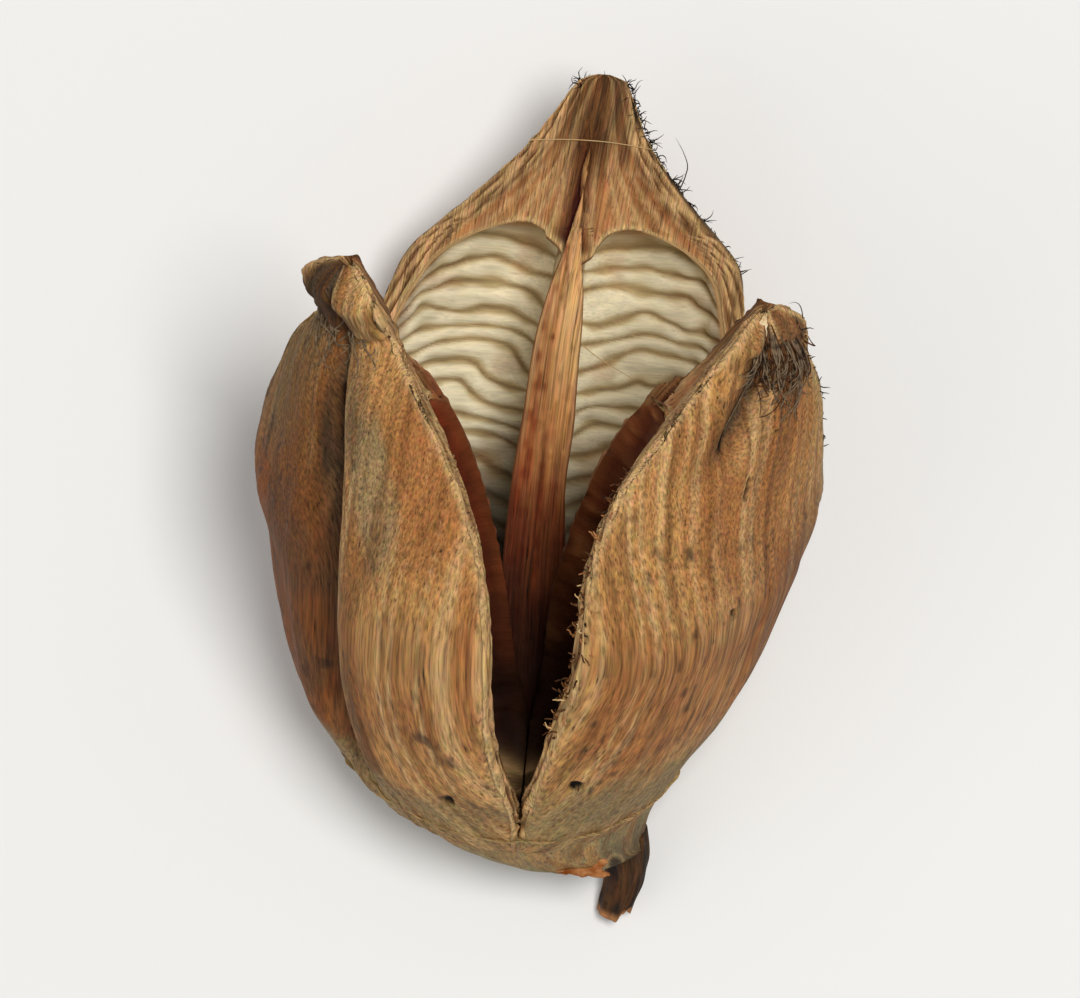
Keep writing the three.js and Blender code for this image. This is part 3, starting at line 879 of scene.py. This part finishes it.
stalk_mesh, stalk_ring, stalk_step = tube("stalk_wood", STALK_SIDES, STALK_RINGS)
stalk_heading = math.tau * np.maximum(stalk_step, 0) / STALK_SIDES
stalk_arc = once_round(stalk_heading, *STALK_GRAIN_REACH)
stalk_lumps = 1 + 0.12 * grain(stalk_arc / 0.8, stalk_ring * 3, 70)
stalk_radius = np.where(stalk_step < 0, 0, mix(*STALK_RADII, stalk_ring) * stalk_lumps)
stalk_place = mix(np.array(STALK_END), np.array(STALK_TOP), stalk_ring[:, None])
stalk_place[:, 0] += STALK_BEND * np.sin(math.pi * stalk_ring)
stalk_place[:, :2] += polar(stalk_radius, stalk_heading)
stalk_place[:, 2] += TORN_DEPTH * grain(stalk_arc / 0.6, 0.5, 71) * smooth(0.12, 0, stalk_ring)
stalk_tint = layered(
    WOOD["soot"],
    ("umber", 0.5 * smooth(-0.2, 0.9, grain(stalk_arc / 0.7, stalk_ring * 3, 72))),
    ("tissue", 0.8 * smooth(0.08, 0.01, stalk_ring)),
)
stalk_strand = np.column_stack([stalk_arc, stalk_ring * 9, stalk_arc * 0])
paint(stalk_mesh, stalk_tint, stalk_strand, np.ones(len(stalk_arc)))
add_piece(stalk_mesh, laid_down(stalk_place), stalk_wood, "stalk_wood", "stalk")

# ---------------------------------------------------------------------------------------------
# Torn fibres, hairs and chips. Black hairs stand along one edge and round the tip of the back
# valve, the broken tips of the other two end in shreds of their own brown fibre, and a few thin
# flakes of wood and skin hang on where they tore.
# ---------------------------------------------------------------------------------------------
HAIR_WIDTH = 0.055
HAIRED_EDGE = -58
EDGE_HAIR_SHARES = np.linspace(0.74, 0.99, 150)
RIGHT_HAIR_SHARES = np.linspace(0.75, 0.93, 16)
TIP_HAIRS = {"back": 64, "right": 14}
TIP_HAIR_SHARE = 0.985
LONG_HAIR = (0.855, 6.0)
SHRED_WIDTH = 0.075
SHRED_TAPER = 0.6
CHIP_PLACE = (0.997, -40, 0.6)
CHIP_SHIFT = (-0.3, 0.2, 0.2)
INNER_CHIP_SHIFT = (-1.1, -0.6, -0.2)
FLAKE_PLACE = (3.8, -33.6)
OUT_OF_FACE = (0, 0, 1)
chance = np.random.default_rng(12)


def pod_place(valve, share, flat):
    return laid_down(bent(valve, np.atleast_2d(flat), np.atleast_1d(share)))[0]


def skin_place(valve, share, degrees, lift=0.0):
    """A place in the world on or over a valve's skin."""
    angle = math.radians(degrees - twisted(valve, share))
    return pod_place(valve, share, polar(back_radius(valve, share, angle) + lift, angle))


def face_place(valve, share, side, distance, lift=0.0):
    """A place in the world on or over a valve's split face."""
    across = polar(distance, HALF_SPAN * side) - lift * polar(1.0, (HALF_SPAN - math.pi / 2) * side)
    return pod_place(valve, share, across)


def curling_line(start, way, length, curl, steps=14):
    """A line of a length in millimetres that sets out one way and bends as it goes."""
    place, way = np.array(start), np.array(way, float) / np.linalg.norm(way)
    turn = chance.normal(size=3) * curl
    line = [place]
    for _ in range(steps):
        way = way + (turn + chance.normal(size=3) * curl) / steps
        way /= np.linalg.norm(way)
        place = place + way * length * MM / steps
        line.append(place)
    return line


def strand_mesh(name, lines, width, taper):
    """Thin round strands along the given lines, each thinner towards its end, as one mesh."""
    curve = bpy.data.curves.new(name + "_lines", "CURVE")
    curve.dimensions = "3D"
    curve.bevel_depth = width * MM
    curve.bevel_resolution = 1
    curve.use_fill_caps = True
    for line in lines:
        spline = curve.splines.new("POLY")
        spline.points.add(len(line) - 1)
        for i, point in enumerate(line):
            spline.points[i].co = (*point, 1)
            spline.points[i].radius = 1 - taper * (i / (len(line) - 1)) ** 2
    drawn = put_in_scene(name + "_lines", curve)
    finished = drawn.evaluated_get(bpy.context.evaluated_depsgraph_get())
    mesh = bpy.data.meshes.new_from_object(finished)
    bpy.data.objects.remove(drawn)
    bpy.data.curves.remove(curve)
    mesh.name = name
    return mesh


def mottled_fibre(name, dark, light, roughness):
    """Dull plant fibre whose colour wanders between two tones."""
    material, tree, shader = new_material(name, Roughness=roughness, Specular_IOR_Level=0.2)
    place = add_node(tree, "TexCoord").outputs["Object"]
    noise = add_node(tree, "TexNoise", Vector=place, Scale=1400.0, Detail=3.0, Roughness=0.6)
    tones = add_node(tree, "Mix")
    tones.data_type = "RGBA"
    share = ranged(tree, noise.outputs["Fac"], 0.35, 0.65, 0.0, 1.0)
    wire(tree, tones, Factor=share, A=(*WOOD[dark], 1), B=(*WOOD[light], 1))
    wire(tree, shader, Base_Color=tones.outputs["Result"])
    return material


def add_strands(name, lines, width, material, taper=0.8):
    mesh = strand_mesh(name, lines, width, taper)
    add_piece(mesh, vertex_places(mesh), material, "pod_wood")


black_hair = mottled_fibre("black_hair", "pitch", "soot", 0.6)
brown_shred = mottled_fibre("brown_shred", "pitch", "umber", 0.75)
pale_thread = mottled_fibre("pale_thread", "shadow", "rim_light", 0.7)

back, left, right = VALVES["valve_back"], VALVES["valve_left"], VALVES["valve_right"]
hairs = []
for share in EDGE_HAIR_SHARES:
    share, degrees = share + chance.normal() * 0.004, HAIRED_EDGE + 4 * chance.random()
    start = skin_place(back, share, degrees, 0.02)
    way = (1, chance.normal() * 1.1, 0.5 + chance.normal() * 0.4)
    hairs.append(curling_line(start, way, 0.5 + 1.3 * chance.random() ** 2, 3.2))
for _ in range(TIP_HAIRS["back"]):
    start = skin_place(back, TIP_HAIR_SHARE, -60 + 120 * chance.random(), -0.3)
    way = (chance.normal() * 0.8, 1, 0.4 + chance.normal() * 0.4)
    hairs.append(curling_line(start, way, 0.6 + 1.2 * chance.random(), 3.0))
long_share, long_length = LONG_HAIR
start = skin_place(back, long_share, HAIRED_EDGE - 1)
hairs.append(curling_line(start, (0.6, 1.0, 0.3), long_length, 1.1, 24))
for _ in range(TIP_HAIRS["right"]):
    start = skin_place(right, TIP_HAIR_SHARE, -40 + 90 * chance.random(), -0.2)
    way = (0.3 + chance.normal() * 0.6, 0.8, 0.6 + chance.normal() * 0.5)
    hairs.append(curling_line(start, way, 1.0 + 2.2 * chance.random(), 2.6))
for share in RIGHT_HAIR_SHARES:
    start = skin_place(right, share, 34 + 10 * chance.random())
    way = (1, chance.normal() * 0.6, 0.3)
    hairs.append(curling_line(start, way, 0.4 + 0.6 * chance.random(), 2.0))
add_strands("black_hairs", hairs, HAIR_WIDTH, black_hair)


def shreds(valve, count, root_share, reach, degrees, lift):
    """Wavy shreds that hang down over a valve's skin from its broken tip."""
    lines = []
    for _ in range(count):
        root, sway = chance.uniform(*degrees), chance.normal() * 16
        top = root_share - 0.03 * chance.random() ** 2
        end = top - reach * (0.25 + 0.75 * chance.random() ** 1.5)
        phase, rise = chance.random() * 6, lift * (0.2 + chance.random() ** 2)
        line = []
        for t in np.linspace(0, 1, 18):
            across = root * mix(1, 0.7, t) + sway * t * t + 5 * math.sin(7 * t + phase) * t
            height = -0.5 * (1 - t) ** 3 + rise * math.sin(math.pi * min(1, t * 1.15))
            line.append(skin_place(valve, mix(top, end, t), across, height + 0.04))
        lines.append(line)
    return lines


tan_shred = mottled_fibre("tan_shred", "smoke", "taupe", 0.75)
for name, material, hanging in (
    ("right_valve_dark_shreds", brown_shred, (right, 70, 1.0, 0.085, (-46, 22), 1.4)),
    ("right_valve_tan_shreds", tan_shred, (right, 90, 1.0, 0.1, (-50, 16), 1.2)),
    ("left_valve_shreds", tan_shred, (left, 30, 0.955, 0.05, (-40, 60), 0.25)),
):
    add_strands(name, shreds(*hanging), SHRED_WIDTH, material, SHRED_TAPER)


def loose_flake(name, middle, forward, length, width, curl, material):
    """A thin torn flake that sets out one way in millimetres and curls up along its length."""
    form = bmesh.new()
    bmesh.ops.create_grid(form, x_segments=14, y_segments=8, size=0.5)
    bmesh.ops.solidify(form, geom=form.faces[:], thickness=0.02)
    bmesh.ops.recalc_face_normals(form, faces=form.faces[:])
    forward = Vector(forward).normalized()
    sideways = Vector(OUT_OF_FACE).cross(forward).normalized()
    outward = forward.cross(sideways)
    for vertex in form.verts:
        u, v, w = vertex.co
        ragged = 1 - 0.9 * (u + 0.5) ** 1.6 + 0.07 * math.sin(17 * u) + 0.04 * math.sin(31 * u)
        rise = curl * ((u + 0.5) ** 2 + 0.5 * v * v) + 0.05 * math.sin(9 * v + 6 * u)
        place = forward * (u + 0.08 * math.sin(11 * v)) * length + sideways * v * width * ragged
        vertex.co = Vector(middle) + (place + outward * (rise * length + w * 4)) * MM
    mesh = as_mesh(form, name)
    add_piece(mesh, vertex_places(mesh), material, "pod_wood")


pale_chip = mottled_fibre("pale_chip", "straw", "cream", 0.7)
papery_flake = mottled_fibre("papery_flake", "rust", "tissue", 0.65)
chip_at = skin_place(right, *CHIP_PLACE) + np.array(CHIP_SHIFT) * MM
inner_chip_at = chip_at + np.array(INNER_CHIP_SHIFT) * MM
flake_away = np.hypot(*(base_laid[:, :2] / MM - FLAKE_PLACE).T)
flake_at = base_laid[np.argmin(flake_away - 0.3 * base_laid[:, 2] / MM)]
loose_flake("right_tip_chip", chip_at, (0.3, 1, 0.3), 2.4, 1.3, 0.2, pale_chip)
loose_flake("right_tip_inner_chip", inner_chip_at, (0.2, 1, 0.2), 2.0, 1.3, 0.15, papery_flake)
loose_flake("base_flake", flake_at, (-1, -0.15, 0.2), 4.4, 2.2, 0.12, papery_flake)

# ---------------------------------------------------------------------------------------------
# Seed stalks and loose threads. Each flat seed hung on a short stalk from the edge of its chamber.
# The dry, curled stalks, most of them brown, are still there along the right valve's split edge.
# Two pale threads lie across the back valve.
# ---------------------------------------------------------------------------------------------
SEED_STALK_SHARES = np.linspace(0.33, 0.8, 300)
SEED_STALK_KINDS = {"dark": 0.58, "brown": 0.36, "pale": 0.06}
SEED_STALK_TAPER = 0.5
THREAD_WIDTH = 0.05
THREAD_STEPS = np.linspace(0, 1, 21)

stalk_groups = {kind: [] for kind in SEED_STALK_KINDS}
for share in SEED_STALK_SHARES:
    edge = back_radius(right, share, -HALF_SPAN)
    rooted = edge - 0.4 - 3.0 * chance.random()
    start = face_place(right, share, -1, rooted, -0.3)
    above = np.array(face_place(right, share, -1, rooted, 0.7)) - start
    way = above / MM * 0.7 + chance.normal(size=3) * 0.8
    kind = chance.choice(list(SEED_STALK_KINDS), p=list(SEED_STALK_KINDS.values()))
    stalk_groups[kind].append(curling_line(start, way, 0.7 + 1.2 * chance.random(), 8.0, 12))
wall_brown = mottled_fibre("wall_brown", "umber", "tissue", 0.75)
for kind, width, material in (
    ("dark", 0.1, brown_shred), ("brown", 0.11, wall_brown), ("pale", 0.1, pale_thread),
):
    add_strands(kind + "_seed_stalks", stalk_groups[kind], width, material, SEED_STALK_TAPER)

beak_thread, slack_thread = [], []
for t in THREAD_STEPS:
    sag = math.sin(math.pi * t)
    side = 1 if t < 0.5 else -1
    beak_thread.append(face_place(back, 0.905 + 0.006 * sag, side, abs(2 * t - 1) * 6.2, 0.35))
    slack_thread.append(
        face_place(back, mix(0.655, 0.59, t), -1, mix(2.2, 9.0, t), -1.2 - 2.4 * sag)
    )
add_strands("loose_threads", [beak_thread, slack_thread], THREAD_WIDTH, pale_thread, 0.3)

# ---------------------------------------------------------------------------------------------
# Floor, light and camera. The pod lies on a wide pale sheet under a large soft lamp, with a
# fainter one across from it and an even pale surround. The camera looks straight down.
# ---------------------------------------------------------------------------------------------
FLOOR_SIZE = 3.0
FLOOR_DROP = 0.0003
FLOOR_WHITE = (0.88, 0.88, 0.87, 1)
LAMPS = {
    "key_lamp": dict(place=(0.14, 0.06, 0.85), size=0.26, power=4.7, colour=(1.0, 0.985, 0.96)),
    "fill_lamp": dict(place=(-0.5, -0.25, 0.55), size=0.6, power=0.7, colour=(0.97, 0.985, 1.0)),
}
SURROUND_LIGHT = 0.34
CAMERA_HEIGHT = 0.9
VIEW_WIDTH = 0.0955
POD_CENTRE = (cad_box[0] + cad_box[1]) / 2

floor_form = bmesh.new()
bmesh.ops.create_grid(floor_form, x_segments=1, y_segments=1, size=FLOOR_SIZE)
bmesh.ops.translate(floor_form, verts=floor_form.verts, vec=(0, 0, -FLOOR_DROP))
floor_mesh = as_mesh(floor_form, "floor")
floor_mesh.materials.append(new_material("floor_paper", Base_Color=FLOOR_WHITE, Roughness=0.9)[0])
floor = put_in_scene("floor", floor_mesh)

for name, lamp in LAMPS.items():
    light = bpy.data.lights.new(name, "AREA")
    light.shape = "DISK"
    light.size = lamp["size"]
    light.energy = lamp["power"]
    light.color = lamp["colour"]
    hung = put_in_scene(name, light)
    hung.location = lamp["place"]
    hung.rotation_euler = (POD_CENTRE - hung.location).to_track_quat("-Z", "Y").to_euler()

world = bpy.data.worlds.new("pale_surround")
bpy.context.scene.world = world
world.use_nodes = True
surround = world.node_tree.nodes["Background"]
wire(world.node_tree, surround, Color=(1.0, 1.0, 1.0, 1), Strength=SURROUND_LIGHT)
bpy.context.scene.view_settings.view_transform = "Standard"

camera_data = bpy.data.cameras.new("camera")
camera_data.sensor_fit = "HORIZONTAL"
camera_data.lens = camera_data.sensor_width * (CAMERA_HEIGHT - POD_CENTRE.z) / VIEW_WIDTH
camera_data.clip_start = 0.05
camera = put_in_scene("camera", camera_data)
camera.location = (POD_CENTRE.x, POD_CENTRE.y, CAMERA_HEIGHT)
bpy.context.scene.camera = camera
